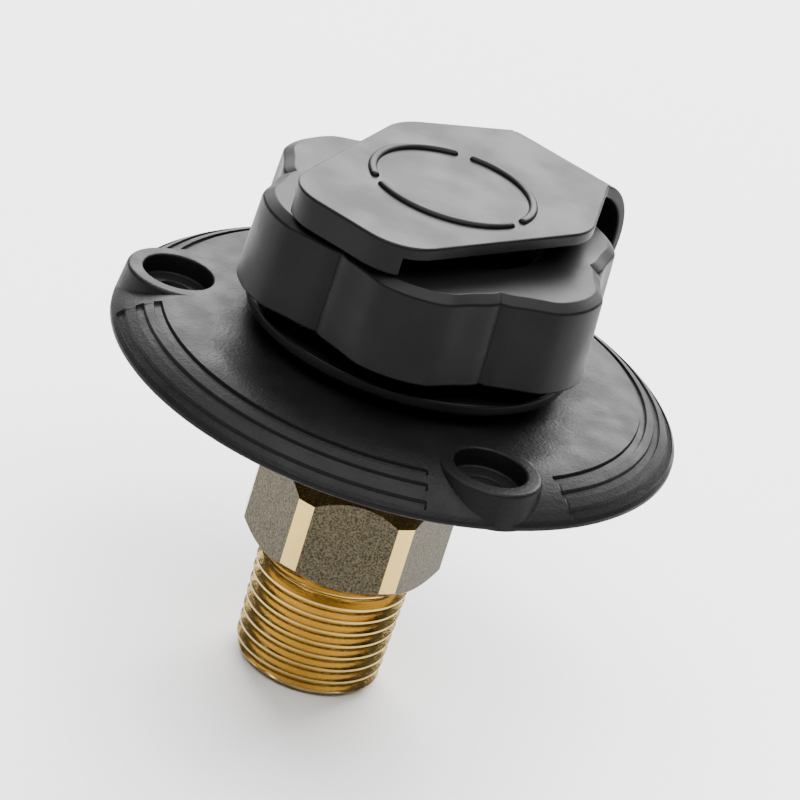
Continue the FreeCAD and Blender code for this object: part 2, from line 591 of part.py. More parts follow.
# Tether: a ring that turns on the flange's hub, and the strap that rises behind the nut.
ring_foot = "(Dim.step_height + Dim.seat_fit)"
ring_top = "(%s + Dim.strap_thick)" % ring_foot
upper_arc = "((Dim.lid_top - %s) * Dim.bow_split)" % ring_foot
bow_height = "(Dim.lid_top - %s)" % upper_arc
lower_arc = "(%s - %s)" % (bow_height, ring_foot)
strap_reach = "(Dim.hinge_back + Dim.strap_bow)"
upper_centre = "(%s - %s)" % (strap_reach, upper_arc)
lower_centre = "(%s - %s)" % (strap_reach, lower_arc)
ring_middle = "((Dim.hub_radius + Dim.ring_radius) / 2)"
strap_start = "(Dim.hinge_back + Dim.strap_thick / 2 + Dim.hinge_gap)"
upper_inner = "(%s - Dim.strap_thick)" % upper_arc
lower_inner = "(%s - Dim.strap_thick)" % lower_arc
on_upper = "(%s + sqrt(%%s^2 - (%s - %s)^2))" % (bow_height, strap_start, upper_centre)

strap = new_body("lid_strap")
revolve(strap, "tether_ring", [
    ("Dim.hub_radius + Dim.ring_fit", ring_foot),
    ("Dim.ring_radius", ring_foot),
    ("Dim.ring_radius", ring_top),
    ("Dim.hub_radius + Dim.ring_fit", ring_top),
])
strap_side = new_sketch(strap, "strap_side", "YZ_Plane")
draw_outline(strap_side, [
    (ring_middle, ring_foot),
    (lower_centre, ring_foot, lower_arc),
    (strap_reach, bow_height, upper_arc),
    (strap_start, on_upper % upper_arc),
    (strap_start, on_upper % upper_inner, "-" + upper_inner),
    (strap_reach + " - Dim.strap_thick", bow_height, "-" + lower_inner),
    (lower_centre, ring_top),
    (ring_middle, ring_top),
])
extrude(strap, "strap_band", strap_side, "Dim.strap_width", midplane=True)

# Lid: a six-sided plate with a lip to lift it by, a plug underneath and a broken ring on top.
lid_under = "(Dim.lid_top - Dim.lid_thick)"
hinge_height = "(Dim.lid_top - Dim.strap_thick / 2)"
lid = new_body("lid")
plate_plan = new_sketch(lid, "plate_plan", "XY_Plane", lid_under)
draw_outline(plate_plan, [
    ("-Dim.lip_half", "-Dim.lip_front"),
    ("Dim.lip_half", "-Dim.lip_front"),
    ("Dim.lid_side", "Dim.lid_side_back"),
    ("Dim.strap_width / 2", "Dim.hinge_back"),
    ("-Dim.strap_width / 2", "Dim.hinge_back"),
    ("-Dim.lid_side", "Dim.lid_side_back"),
])
extrude(lid, "plate", plate_plan, "Dim.lid_thick")
side_corner = number("Dim.lid_side")
front_corner = number("Dim.lip_half")
upright = number("Dim.lid_thick / 2")


def upright_edge(edge, reach):
    """True for an upright edge of the plate at this distance to either side."""
    return abs(abs(edge.CenterOfMass.x) - reach) < TOUCHING and edge.BoundBox.ZLength > upright


round_edges(lid, "side_corners", lambda e: upright_edge(e, side_corner), "Dim.lid_corner")
round_edges(lid, "front_corners", lambda e: upright_edge(e, front_corner), "Dim.lid_front_corner")

# The lip hangs below the plate's front edge and follows its rounded corners.
side_slant = "(atan((Dim.lid_side - Dim.lip_half) / (Dim.lid_side_back + Dim.lip_front)) / (1 deg))"
lip_flat = "(Dim.lip_half - Dim.lid_front_corner * tan((90 - %s) / 2))" % side_slant
lip_bend = "sqrt(Dim.lid_front_corner^2 - (Dim.lid_front_corner - Dim.lip_thick)^2)"
lip_foot = "(Dim.knob_top + Dim.lip_gap)"
lip_plan = new_sketch(lid, "lip_plan", "XY_Plane", lip_foot)
draw_outline(lip_plan, [
    ("-%s - %s" % (lip_flat, lip_bend), "-Dim.lip_front + Dim.lip_thick", "Dim.lid_front_corner"),
    ("-" + lip_flat, "-Dim.lip_front"),
    (lip_flat, "-Dim.lip_front", "Dim.lid_front_corner"),
    ("%s + %s" % (lip_flat, lip_bend), "-Dim.lip_front + Dim.lip_thick"),
])
extrude(lid, "lip", lip_plan, "%s + Dim.lid_thick / 2 - %s" % (lid_under, lip_foot))
lid_level = number("Dim.lid_top")
hinge_line = number("Dim.hinge_back")
round_edges(lid, "top_edge", lambda e: level_edge(e, lid_level)
            and e.CenterOfMass.y < hinge_line - TOUCHING, "Dim.lid_edge")
hinge_side = new_sketch(lid, "hinge_side", "YZ_Plane")
draw_circle(hinge_side, "Dim.strap_thick / 2", "Dim.hinge_back", hinge_height)
extrude(lid, "hinge_edge", hinge_side, "Dim.strap_width", midplane=True)
plug_radius = "(Dim.thread_bore - Dim.plug_fit)"
plug_foot = "(Dim.knob_top - Dim.plug_depth)"
revolve(lid, "plug", [
    (plug_radius + " - Dim.plug_wall", plug_foot),
    (plug_radius + " - Dim.plug_nose", plug_foot),
    (plug_radius, plug_foot + " + 2 * Dim.plug_nose"),
    (plug_radius, lid_under + " + Dim.lid_thick / 2"),
    (plug_radius + " - Dim.plug_wall", lid_under + " + Dim.lid_thick / 2"),
])
ridge_arc = "((Dim.ridge_half^2 + Dim.ridge_rise^2) / (2 * Dim.ridge_rise))"
ridge = revolve(lid, "ridge", [
    ("-Dim.ridge_circle - Dim.ridge_half", "Dim.lid_top - Dim.lid_thick / 2"),
    ("-Dim.ridge_circle + Dim.ridge_half", "Dim.lid_top - Dim.lid_thick / 2"),
    ("-Dim.ridge_circle + Dim.ridge_half", "Dim.lid_top", ridge_arc),
    ("-Dim.ridge_circle - Dim.ridge_half", "Dim.lid_top"),
], angle="360 / Dim.ridge_count - Dim.ridge_gap")
repeat(lid, "ridges", [ridge], "Dim.ridge_count")

# Check valve: guide cage on the chamber's floor, poppet with a rubber seal, return spring.
cage_top = "(Dim.chamber_floor + Dim.cage_height)"
cage_inner = "(Dim.shank_radius - Dim.cage_wall)"
cage = new_body("check_valve_cage")
revolve(cage, "cage_disc", [
    ("Dim.stem_radius + Dim.stem_fit", "Dim.chamber_floor"),
    ("Dim.shank_radius", "Dim.chamber_floor"),
    ("Dim.shank_radius", cage_top),
    ("Dim.stem_radius + Dim.stem_fit", cage_top),
])
spoke_gap = "360 / Dim.cage_spokes - 2 * asin(Dim.spoke / (Dim.cage_hub + %s)) / (1 deg)" % cage_inner
window = revolve(cage, "cage_window", [
    ("Dim.cage_hub", "Dim.chamber_floor - Dim.cage_wall"),
    (cage_inner, "Dim.chamber_floor - Dim.cage_wall"),
    (cage_inner, cage_top + " + Dim.cage_wall"),
    ("Dim.cage_hub", cage_top + " + Dim.cage_wall"),
], cut=True, angle=spoke_gap)
repeat(cage, "cage_windows", [window], "Dim.cage_spokes")

seal_top = "(Dim.shank_foot - Dim.seat_fit)"
seal_foot = "(%s - Dim.seal_thick)" % seal_top
disc_foot = "(%s - Dim.disc_thick)" % seal_foot
poppet = new_body("check_valve_poppet")
revolve(poppet, "poppet_turned", [
    ("0", disc_foot + " - Dim.stem_reach"),
    ("Dim.stem_radius", disc_foot + " - Dim.stem_reach"),
    ("Dim.stem_radius", disc_foot),
    ("Dim.disc_radius", disc_foot),
    ("Dim.disc_radius", seal_foot),
    ("Dim.nose_radius", seal_foot),
    ("Dim.nose_radius", seal_top),
    ("Dim.button_radius", seal_top),
    ("Dim.nose_radius", seal_top + " + Dim.nose_rise"),
    ("0", seal_top + " + Dim.nose_rise"),
])
seal = new_body("poppet_seal")
revolve(seal, "seal_ring", [
    ("Dim.nose_radius", seal_foot),
    ("Dim.seal_radius", seal_foot),
    ("Dim.seal_radius", seal_top),
    ("Dim.nose_radius", seal_top),
])

# Return spring, coiled between the cage and the poppet's disc
spring_foot = "(%s + Dim.coil_wire + Dim.bore_fit)" % cage_top
spring_reach = "(%s - Dim.coil_wire - Dim.bore_fit - %s)" % (disc_foot, spring_foot)
coil = doc.addObject("Part::Helix", "coil_line")
coil.setExpression("Radius", "Dim.coil_radius")
coil.setExpression("Height", spring_reach)
coil.setExpression("Pitch", "%s / Dim.coil_turns" % spring_reach)
coil.setExpression("Placement.Base.z", spring_foot)
wire = doc.addObject("Part::Circle", "coil_section")
wire.setExpression("Radius", "Dim.coil_wire")
wire.Placement.Rotation = FreeCAD.Rotation(FreeCAD.Vector(1, 0, 0), 90)
wire.setExpression("Placement.Base.x", "Dim.coil_radius")
wire.setExpression("Placement.Base.z", spring_foot)
spring = doc.addObject("Part::Sweep", "check_valve_spring")
spring.Label = "check_valve_spring"
spring.Sections = [wire]
spring.Spine = (coil, ["Edge%d" % (i + 1) for i in range(len(coil.Shape.Edges))])
spring.Solid = True
spring.Frenet = True
doc.recompute()

PIECES = [flange, brass, gasket, neck_seal, tailpiece, nut, washer, screen, strap, lid, cage, poppet, seal, spring]

for item in doc.Objects:
    if "Invalid" in item.State or "Error" in item.State:
        raise RuntimeError("feature failed: %s" % item.Name)
for piece in PIECES:
    if piece.Shape.isNull() or not piece.Shape.isValid() or not piece.Shape.Solids:
        raise RuntimeError("bad shape: %s" % piece.Label)

os.makedirs("parts", exist_ok=True)
for piece in PIECES:
    piece.Shape.exportStep("parts/%s.step" % piece.Label)
    box = piece.Shape.BoundBox
    print("%-20s solids %d volume %8.1f z %6.2f to %6.2f" %
          (piece.Label, len(piece.Shape.Solids), piece.Shape.Volume, box.ZMin, box.ZMax))
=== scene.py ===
import math

import bmesh
import bpy
from mathutils import Matrix, Vector


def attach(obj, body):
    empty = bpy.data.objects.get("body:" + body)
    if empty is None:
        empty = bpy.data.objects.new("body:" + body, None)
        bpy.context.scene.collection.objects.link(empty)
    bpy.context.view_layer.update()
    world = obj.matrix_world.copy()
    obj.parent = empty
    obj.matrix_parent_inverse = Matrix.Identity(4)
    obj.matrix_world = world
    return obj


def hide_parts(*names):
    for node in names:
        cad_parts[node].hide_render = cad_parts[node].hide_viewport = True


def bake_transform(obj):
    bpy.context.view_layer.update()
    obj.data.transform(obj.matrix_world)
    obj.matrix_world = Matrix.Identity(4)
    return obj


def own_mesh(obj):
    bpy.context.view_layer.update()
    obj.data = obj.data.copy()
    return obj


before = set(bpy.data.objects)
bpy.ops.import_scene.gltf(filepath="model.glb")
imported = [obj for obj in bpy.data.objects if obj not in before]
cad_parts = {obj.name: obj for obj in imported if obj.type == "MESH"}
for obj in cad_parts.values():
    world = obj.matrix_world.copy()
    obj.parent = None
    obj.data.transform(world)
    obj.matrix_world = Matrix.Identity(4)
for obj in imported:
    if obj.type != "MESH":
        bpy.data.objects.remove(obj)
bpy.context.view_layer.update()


# Flange: one injection-moulded disc of black plastic with a fine pebbled grain. Its border is domed,
# with three arc grooves between the screw bosses, and it lies on the vehicle's wall.
class Value:
    """One output of a finish's node tree. A sum or product written on it adds a Math node."""

    def __init__(self, finish, socket):
        self.finish = finish
        self.socket = socket

    def maths(self, operation, first, second):
        return self.finish.node("ShaderNodeMath", {"operation": operation}, {0: first, 1: second})

    def __add__(self, other):
        return self.maths("ADD", self, other)

    def __radd__(self, other):
        return self.maths("ADD", other, self)

    def __mul__(self, other):
        return self.maths("MULTIPLY", self, other)

    def __rmul__(self, other):
        return self.maths("MULTIPLY", other, self)


class Finish:
    """A material. Its constant sockets are set here, and its patterns are added as nodes."""

    def __init__(self, name, colour, roughness, metallic=0.0, reflection=0.09):
        self.material = bpy.data.materials.new(name)
        self.material.use_nodes = True
        self.tree = self.material.node_tree
        self.shader = self.tree.nodes["Principled BSDF"]
        self.shader.inputs["Base Color"].default_value = (*colour, 1)
        self.shader.inputs["Roughness"].default_value = roughness
        self.shader.inputs["Metallic"].default_value = metallic
        self.shader.inputs["Specular IOR Level"].default_value = reflection

    def node(self, kind, settings, inputs, output=0):
        """A node of one kind: its settings first, then its sockets' values or links."""
        made = self.tree.nodes.new(kind)
        for setting, value in settings.items():
            setattr(made, setting, value)
        for place, value in inputs.items():
            if isinstance(value, Value):
                self.tree.links.new(value.socket, made.inputs[place])
            else:
                made.inputs[place].default_value = value
        return Value(self, made.outputs[output])

    def place(self):
        return self.node("ShaderNodeTexCoord", {}, {}, "Object")

    def noise(self, size, detail=2.0, roughness=0.5):
        """Soft noise whose features are about one size across, in metres."""
        settings = {"Vector": self.place(), "Scale": 1 / size, "Detail": detail, "Roughness": roughness}
        return self.node("ShaderNodeTexNoise", {}, settings, "Fac")

    def between(self, value, low, high, first, second):
        """Runs from the first number to the second while a value runs from low to high."""
        span = {"Value": value, "From Min": low, "From Max": high, "To Min": first, "To Max": second}
        return self.node("ShaderNodeMapRange", {"clamp": True}, span)

    def mix(self, factor, first, second):
        """Colour between two others."""
        sockets = {0: factor, 6: first, 7: second}
        return self.node("ShaderNodeMix", {"data_type": "RGBA"}, sockets, 2)

    def feed(self, socket, value):
        self.tree.links.new(value.socket, self.shader.inputs[socket])

    def relief(self, height, depth, strength=1.0):
        """Bump of a depth in metres."""
        sockets = {"Height": height, "Distance": depth, "Strength": strength}
        self.feed("Normal", self.node("ShaderNodeBump", {}, sockets))


def as_piece(name, mesh, finish, body, replaced=(), smooth=35):
    """Plain object at the origin with its finish, riding on its body."""
    piece = bpy.data.objects.new(name, mesh)
    bpy.context.scene.collection.objects.link(piece)
    mesh.materials.clear()
    mesh.materials.append(finish.material)
    mesh.polygons.foreach_set("use_smooth", [True] * len(mesh.polygons))
    mesh.set_sharp_from_angle(angle=math.radians(smooth))
    even = piece.modifiers.new("even_shading", "WEIGHTED_NORMAL")
    even.keep_sharp = True
    if body is not None:
        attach(piece, body)
    if replaced:
        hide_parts(*replaced)
    return piece


def merged_copy(node, near=2e-6, flat=math.radians(0.2)):
    """The solid's mesh with its loose triangles joined and its flat faces made whole."""
    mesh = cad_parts[node].data.copy()
    form = bmesh.new()
    form.from_mesh(mesh)
    bmesh.ops.remove_doubles(form, verts=form.verts, dist=near)
    bmesh.ops.dissolve_degenerate(form, edges=form.edges, dist=near / 2)
    bmesh.ops.dissolve_limit(form, angle_limit=flat, verts=form.verts, edges=form.edges)
    form.to_mesh(mesh)
    form.free()
    return mesh


def box_mesh(name, low, high):
    """Upright box between two opposite corners."""
    form = bmesh.new()
    middle, size = (Vector(low) + Vector(high)) / 2, Vector(high) - Vector(low)
    bmesh.ops.create_cube(form, size=1, matrix=Matrix.Translation(middle) @ Matrix.Diagonal((*size, 1)))
    return finished_mesh(form, name)


def rounded(corners, steps=4):
    """Closed outline with arcs at the corners that have a third number, their rounding."""
    points = []
    for index, corner in enumerate(corners):
        here = Vector(corner[:2])
        if len(corner) == 2 or corner[2] <= 0:
            points.append(here)
            continue
        before = (Vector(corners[index - 1][:2]) - here).normalized()
        after = (Vector(corners[(index + 1) % len(corners)][:2]) - here).normalized()
        half = before.angle(after) / 2
        start = here + before * corner[2] / math.tan(half)
        centre = here + (before + after).normalized() * corner[2] / math.sin(half)
        spoke = start - centre
        sweep = math.copysign(math.pi - 2 * half, after.cross(before))
        for step in range(steps + 1):
            turn = sweep * step / steps
            points.append(centre + Matrix.Rotation(turn, 2) @ spoke)
    return points


def circle_angles(columns):
    return [math.tau * i / columns for i in range(columns)]


def turned_row(form, angles, radius, level):
    """One row of points round the axis; radius and level may depend on the angle."""
    row = []
    for angle in angles:
        r = radius(angle) if callable(radius) else radius
        z = level(angle) if callable(level) else level
        row.append(form.verts.new((r * math.cos(angle), r * math.sin(angle), z)))
    return row


def close_columns(form, rows):
    """Faces between rows of points, closed round the axis."""
    for lower, upper in zip(rows, rows[1:]):
        for i in range(len(lower)):
            j = (i + 1) % len(lower)
            form.faces.new((lower[i], lower[j], upper[j], upper[i]))


def finished_mesh(form, name):
    """Plain mesh of a form, with its doubles merged and its faces turned outwards."""
    bmesh.ops.remove_doubles(form, verts=form.verts, dist=1e-7)
    bmesh.ops.dissolve_degenerate(form, edges=form.edges, dist=1e-7)
    bmesh.ops.recalc_face_normals(form, faces=form.faces)
    if form.calc_volume(signed=True) < 0:
        bmesh.ops.reverse_faces(form, faces=form.faces)
    mesh = bpy.data.meshes.new(name)
    form.to_mesh(mesh)
    form.free()
    return mesh


def turned_mesh(name, corners, columns=128):
    """Ring or rod turned about the waterway axis from a closed half profile."""
    form = bmesh.new()
    rows = [turned_row(form, circle_angles(columns), r, z) for r, z in rounded(corners)]
    close_columns(form, rows + rows[:1])
    return finished_mesh(form, name)


def repeated(name, mesh, places):
    """One mesh that holds a form at each of its places."""
    form = bmesh.new()
    for place in places:
        copy = mesh.copy()
        copy.transform(place)
        form.from_mesh(copy)
    whole = bpy.data.meshes.new(name)
    form.to_mesh(whole)
    form.free()
    return whole


def combined(base, other, operation):
    """Mesh of two solids added together, or of the first with the second cut out."""
    helpers = []
    for mesh in (base, other):
        helper = bpy.data.objects.new("helper", mesh)
        bpy.context.scene.collection.objects.link(helper)
        helpers.append(helper)
    cut = helpers[0].modifiers.new("cut", "BOOLEAN")
    cut.operation = operation
    cut.solver = "EXACT"
    cut.object = helpers[1]
    ready = helpers[0].evaluated_get(bpy.context.evaluated_depsgraph_get())
    mesh = bpy.data.meshes.new_from_object(ready)
    for helper in helpers:
        bpy.data.objects.remove(helper)
    return mesh


def break_edges(piece, width, angle=32):
    """Small round on every sharp edge, as a mould or a deburring tool leaves it."""
    bevel = piece.modifiers.new("broken_edges", "BEVEL")
    bevel.width = width
    bevel.segments = 2
    bevel.limit_method = "ANGLE"
    bevel.angle_limit = math.radians(angle)
    bevel.use_clamp_overlap = True
    bevel.harden_normals = True


rim_radius = 0.04
rim_edge = 0.00085
deck_radius = 0.0295
deck_height = 0.0051
skin = 0.0022
rim_foot = 0.0386
rim_inside = 0.0383
rim_soft = 0.00025
border = rim_radius - deck_radius
dome_rise = deck_height - rim_edge
dome_radius = (border ** 2 + dome_rise ** 2) / (2 * dome_rise)
mould_round = 0.0003
root_round = 0.0006
step_radius = 0.0195
step_top = 0.0071
step_round = 0.0004
hub_radius = 0.014
hub_top = 0.01155
bead_radius = 0.0146
bead_level = 0.0097
bead_half = 0.0005
head_opening = 0.0086
neck_seat = 0.0091
hub_bore = 0.0101
rear_hub_radius = 0.015
rear_hub_foot = -0.006
boss_count = 3
boss_circle = 0.03225
boss_radius = 0.0071
boss_foot_radius = 0.00785
boss_foot = 0.00005
boss_columns = 96
room_radius = 0.0061
room_foot = -0.001
room_top = 0.007
recess_radius = 0.00495
recess_floor = 0.0023
screw_hole = 0.0024
sector = math.tau / boss_count
groove_end = math.radians(15.5)
groove_depth = 0.00045
groove_half = 0.00058
groove_wall = 0.00016
groove_corner = 0.00035
groove_radii = [rim_radius - (0.105 + 0.214 * order) * border for order in range(3)]
rib_count = 6
rib_inner = 0.0144
rib_outer = 0.0334
rib_width = 0.0016
rib_foot = 0.0008
rib_top = 0.0040


def dome(radius, shell=0.0):
    """Height of the domed border, or of a surface a wall's thickness inside it."""
    span = max(radius - deck_radius, 0)
    return deck_height - dome_radius + math.sqrt((dome_radius - shell) ** 2 - span ** 2)


def groove_sink(radius, angle):
    """Depth of the arc grooves at a place on the border."""
    from_boss = (angle - math.pi / 2) % sector
    along = (min(from_boss, sector - from_boss) - groove_end) * radius
    across = groove_half - min(abs(radius - middle) for middle in groove_radii)
    inside = min(along, across)
    if along < groove_corner and across < groove_corner:
        inside = groove_corner - math.hypot(groove_corner - along, groove_corner - across)
    share = min(max(inside / groove_wall, 0), 1)
    return groove_depth * share * share * (3 - 2 * share)


def border_angles():
    """Columns round the flange, close together where the grooves end."""
    near, far = groove_end - math.radians(0.6), groove_end + math.radians(1.1)
    marks = [(0.0, 7), (near, 11), (far, 42), (sector - far, 11), (sector - near, 7), (sector, 0)]
    angles = []
    for boss in range(boss_count):
        for (start, count), (stop, _) in zip(marks, marks[1:]):
            angles += [math.pi / 2 + sector * boss + start + (stop - start) * i / count for i in range(count)]
    return angles


flange_angles = border_angles()
wall_marks = [share * groove_wall for share in (0, 0.15, 0.35, 0.5, 0.65, 0.85, 1)]
groove_rows = []
for middle in groove_radii:
    offsets = [groove_half - mark for mark in wall_marks] + [0]
    offsets += [-offset for offset in reversed(offsets[:-1])]
    groove_rows += [middle + offset for offset in offsets]
inner_border = [deck_radius + (groove_rows[-1] - deck_radius) * i / 10 for i in range(9, -1, -1)]
flange_form = bmesh.new()
shell_rows = rounded([
    (deck_radius, deck_height), (step_radius, deck_height, mould_round),
    (step_radius, step_top, step_round), (hub_radius, step_top),
    (hub_radius, bead_level - bead_half), (bead_radius, bead_level), (hub_radius, bead_level + bead_half),
    (hub_radius, hub_top, mould_round), (head_opening, hub_top), (head_opening, neck_seat),
    (hub_bore, neck_seat), (hub_bore, rear_hub_foot), (rear_hub_radius, rear_hub_foot, mould_round),
    (rear_hub_radius, deck_height - skin, root_round), (deck_radius, deck_height - skin)])[1:]
under_rows = [deck_radius + (rim_inside - deck_radius) * i / 8 for i in range(1, 9)]
flange_rows = [turned_row(flange_form, flange_angles, r, z) for r, z in shell_rows]
flange_rows += [turned_row(flange_form, flange_angles, r, dome(r, skin)) for r in under_rows]
flange_rows += [turned_row(flange_form, flange_angles, r, z) for r, z in (
    (rim_foot, 0.0), (rim_radius - rim_soft, 0.0), (rim_radius, rim_soft),
    (rim_radius, rim_edge - 0.8 * rim_soft), (rim_radius - 0.4 * rim_soft, rim_edge))]
for r in groove_rows + inner_border:
    flange_rows.append(turned_row(flange_form, flange_angles, r, lambda a, r=r: dome(r) - groove_sink(r, a)))
close_columns(flange_form, flange_rows + flange_rows[:1])
flange_mesh = finished_mesh(flange_form, "flange_shell")

boss_places = [Matrix.Rotation(sector * boss, 4, "Z") @ Matrix.Translation((0, boss_circle, 0))
               for boss in range(boss_count)]
boss_mesh = turned_mesh("boss", [
    (screw_hole, boss_foot), (boss_foot_radius, boss_foot), (boss_radius, deck_height, 0.0006),
    (recess_radius, deck_height, 0.00035), (recess_radius, recess_floor, 0.0003),
    (screw_hole, recess_floor, 0.0002)], boss_columns)
room_mesh = turned_mesh("boss_room", [
    (0, room_foot), (room_radius, room_foot), (room_radius, room_top), (0, room_top)], boss_columns)
rib_mesh = box_mesh("rib", (rib_inner, -rib_width / 2, rib_foot), (rib_outer, rib_width / 2, rib_top))
rib_places = [Matrix.Rotation(math.tau * rib / rib_count, 4, "Z") for rib in range(rib_count)]
flange_mesh = combined(flange_mesh, repeated("rooms", room_mesh, boss_places), "DIFFERENCE")
flange_mesh = combined(flange_mesh, repeated("bosses", boss_mesh, boss_places), "UNION")
flange_mesh = combined(flange_mesh, repeated("ribs", rib_mesh, rib_places), "UNION")

grained_black = Finish("grained_black", (0.0045, 0.0045, 0.0048), 0.46)
pebble_size = 0.00042
pebbles = grained_black.node(
    "ShaderNodeTexVoronoi", {"feature": "SMOOTH_F1"},
    {"Vector": grained_black.place(), "Scale": 1 / pebble_size, "Smoothness": 0.6}, "Distance")
grained_black.relief(pebbles + grained_black.noise(2.5 * pebble_size) * 0.6, 0.00006, 0.5)
grained_black.feed("Roughness", grained_black.between(grained_black.noise(0.004), 0.35, 0.65, 0.42, 0.52))
as_piece("flange_moulding", flange_mesh, grained_black, "flange", ["flange"])

# Brass body: a forged hexagon whose flats stay rough, turned at its corners, collar, neck and bore,
# with a taper thread cut on the spigot. It screws up against the flange's hub.
column_count = 240
strip_steps = 8
hex_side = math.radians(60)
hex_turn = math.radians(245.7)
hex_corner = 0.0142
hex_apothem = 0.0129
strip_edge = math.acos(hex_apothem / hex_corner)
flat_tolerance = 0.00002
neck = 0.01
neck_top = 0.0081
collar = 0.0125
collar_top = -0.008
collar_foot = -0.0137
hex_top = -0.016
hex_foot = -0.0263
under_radius = 0.0123
under_level = -0.028
relief_radius = 0.0102
thread_top = -0.0291
crest_radius = 0.011
taper = 1 / 32
thread_pitch = 0.00203
thread_depth = 0.0011
thread_steps = 12
thread_shift = 0.00145
seam_step = 0.0001
spigot_foot = -0.046
foot_chamfer = 0.0009
outlet_radius = 0.007
chamber_floor = -0.016
chamber_radius = 0.00855


def hexagon_columns():
    """Angles round the brass, with one column exactly on each edge of every corner strip."""
    share = column_count // 6
    angles = []
    for side in range(6):
        middle = hex_turn + hex_side * side
        flat_steps = share - strip_steps
        flat = [middle - strip_edge + 2 * strip_edge * i / flat_steps for i in range(flat_steps)]
        strip_start = middle + strip_edge
        strip_width = hex_side - 2 * strip_edge
        angles += flat + [strip_start + strip_width * i / strip_steps for i in range(strip_steps)]
    return angles


brass_angles = hexagon_columns()


def hexagon_radius(angle):
    """Radius of the hexagon with turned corners at an angle round the axis."""
    off = (angle - hex_turn + hex_side / 2) % hex_side - hex_side / 2
    return min(hex_corner, hex_apothem / math.cos(off))


def thread_form(share):
    """Share of the thread's depth over one pitch, 0 at the crest and 1 at the root."""
    crest, root = 0.16, 0.1
    flank = (1 - crest - root) / 2
    if share < crest:
        return 0.0
    if share < crest + flank:
        return (share - crest) / flank
    if share < crest + flank + root:
        return 1.0
    return 1 - (share - crest - flank - root) / flank


def thread_wall(form, angles, top, bottom, pitch, shift, radius):
    """Screw thread between two levels, cut right to the edge. The radius depends on the place in the
    pitch and on the level. Gives the plain rings of points at both ends."""
    step = pitch / thread_steps
    total = int((top - bottom + pitch + shift) / step) + 2
    count = len(angles)
    rows = []
    for k in range(total):
        row = []
        for angle in angles:
            start = top + shift + pitch * (angle - angles[0]) / math.tau
            level = min(max(start - k * step, bottom), top)
            r = radius((start - level) / pitch % 1, level)
            row.append(form.verts.new((r * math.cos(angle), r * math.sin(angle), level)))
        rows.append(row)
    for k in range(total - 1):
        for i in range(count - 1):
            form.faces.new((rows[k][i], rows[k][i + 1], rows[k + 1][i + 1], rows[k + 1][i]))
    for k in range(total - 1 + thread_steps):
        left = [rows[min(k + n, total - 1)][count - 1] for n in (0, 1)]
        right = [rows[max(0, k + n - thread_steps)][0] for n in (0, 1)]
        corners = []
        for corner in (left[0], right[0], right[1], left[1]):
            if corner not in corners:
                corners.append(corner)
        if len(corners) > 2:
            form.faces.new(corners)
    return rows[0], rows[-1]


def cone_level(angle):
    """Where the upper cone meets the hexagon."""
    rise = (hexagon_radius(angle) - collar) / (hex_corner - collar)
    return collar_foot + (hex_top - collar_foot) * rise


def under_edge(angle):
    """Where the lower chamfer meets the hexagon."""
    slope = (hex_foot - under_level) / (hex_corner - under_radius)
    return hex_foot - (hex_corner - hexagon_radius(angle)) * slope


def spigot_crest(level):
    return crest_radius - (thread_top - level) * taper


def spigot_surface(share, level):
    """Radius of the pipe thread, with its run-out and the chamfer at the spigot's end."""
    run_out = min(1.0, (thread_top - level) / (0.5 * thread_pitch))
    r = spigot_crest(level) - thread_form(share) * thread_depth
    r = relief_radius + (r - relief_radius) * run_out
    return min(r, spigot_crest(spigot_foot) - foot_chamfer + level - spigot_foot)


brass_form = bmesh.new()
upper_rows = [
    (outlet_radius, spigot_foot), (outlet_radius, chamber_floor), (chamber_radius, chamber_floor),
    (chamber_radius, neck_top), (neck, neck_top), (neck, collar_top), (collar, collar_top),
    (collar, collar_foot), (hexagon_radius, cone_level), (hexagon_radius, under_edge),
    (under_radius, under_level), (relief_radius, under_level), (relief_radius, thread_top + seam_step),
]
brass_rows = [turned_row(brass_form, brass_angles, r, z) for r, z in upper_rows]
close_columns(brass_form, brass_rows)
thread_start, thread_end = thread_wall(
    brass_form, brass_angles, thread_top, spigot_foot, thread_pitch, thread_shift, spigot_surface)
close_columns(brass_form, [brass_rows[-1], thread_start])
close_columns(brass_form, [thread_end, brass_rows[0]])
brass_mesh = finished_mesh(brass_form, "brass_fitting")

turned_brass = Finish("turned_brass", (0.50, 0.35, 0.12), 0.2, 1.0)
turned_brass.feed("Roughness", turned_brass.between(turned_brass.noise(0.0006), 0.3, 0.7, 0.14, 0.26))
brass = as_piece("brass_fitting", brass_mesh, turned_brass, "flange", ["brass_body"], 25)

# On the flats the forging's sand-blasted skin is left: pale, dull and finely pitted.
forged_brass = Finish("forged_brass", (0.40, 0.34, 0.23), 0.5, 0.85)
pit_size = 0.00028
pits = forged_brass.noise(pit_size, 3.0, 0.6)
forged_brass.relief(pits, 0.00012, 0.8)
forged_brass.feed("Base Color", forged_brass.mix(
    forged_brass.between(pits, 0.38, 0.62, 0.0, 1.0), (0.030, 0.025, 0.015, 1), (0.115, 0.098, 0.062, 1)))
brass_mesh.materials.append(forged_brass.material)
for face in brass_mesh.polygons:
    out = math.hypot(face.normal.x, face.normal.y)
    reach = face.normal.x * face.center.x + face.normal.y * face.center.y
    if out > 0.999 and abs(reach - hex_apothem) < flat_tolerance:
        face.material_index = 1
break_edges(brass, 0.00012, 24)

